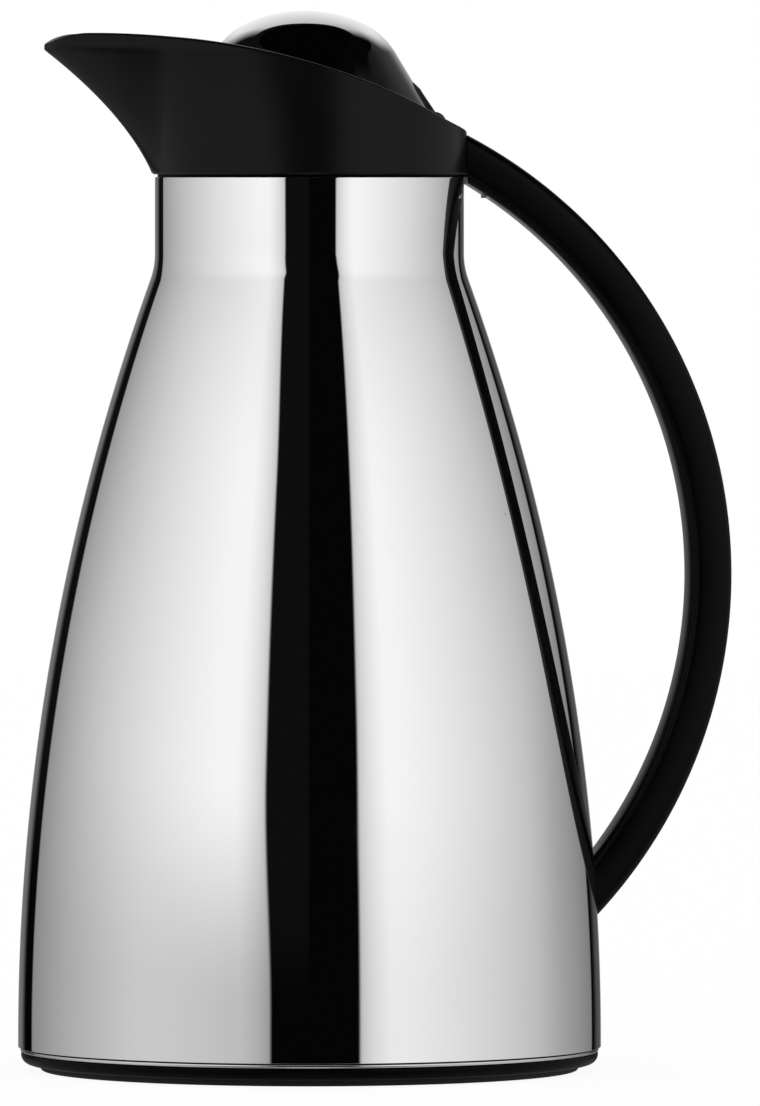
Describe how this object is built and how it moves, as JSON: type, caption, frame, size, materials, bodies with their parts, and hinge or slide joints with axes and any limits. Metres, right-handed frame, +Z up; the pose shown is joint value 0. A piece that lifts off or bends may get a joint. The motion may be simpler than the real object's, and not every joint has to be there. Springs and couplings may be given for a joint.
{
  "type": "thermal carafe with flip lid",
  "caption": "Free-standing insulated carafe with a conical polished shell, a beaked collar, a bow handle and a sprung domed lid that tips back.",
  "frame": {"origin": "on the body's axis, on the surface that the carafe stands on", "axes": "+Z up along the body's axis, -X towards the beak, +X towards the handle, Y along the hinge pin"},
  "size_m": [0.1858, 0.1514, 0.2748],
  "materials": {
    "polished_steel": "mirror polished",
    "plain_steel": "plain",
    "dark_steel": "blackened",
    "black_plastic": "fine satin",
    "silvered_glass": "silvered glass",
    "black_rubber": "matt",
    "clear_silicone": "satin",
    "white_foam": "foam"
  },
  "bodies": {
    "body": {"body_shell": "polished_steel", "trim_ring": "polished_steel", "base_ring": "black_plastic", "base_cap": "black_plastic", "foot_gasket": "black_rubber", "vacuum_flask": "silvered_glass", "flask_cushion": "black_rubber", "flask_pad": "white_foam", "mouth_gasket": "clear_silicone", "neck_nut": "black_plastic", "upper_bracket": "dark_steel", "spout_collar": "black_plastic", "throat_insert": "black_plastic", "hinge_pin": "plain_steel", "handle": "black_plastic", "lower_bracket": "plain_steel", "handle_screws": "plain_steel"},
    "lid": {"lid_base": "black_plastic", "lid_dome": "polished_steel", "lid_insulation": "white_foam", "lid_plug": "black_plastic", "lid_seal": "clear_silicone", "plug_screws": "plain_steel", "hinge_spring": "plain_steel"}
  },
  "joints": [
    {"name": "lid_hinge", "type": "hinge", "parent": "body", "child": "lid", "pos_m": [0.031, 0, 0.2455], "axis": [0, 1, 0], "range_deg": [0, 72], "stiffness_Nm_per_rad": 0.03, "springref_deg": -28.65}
  ]
}
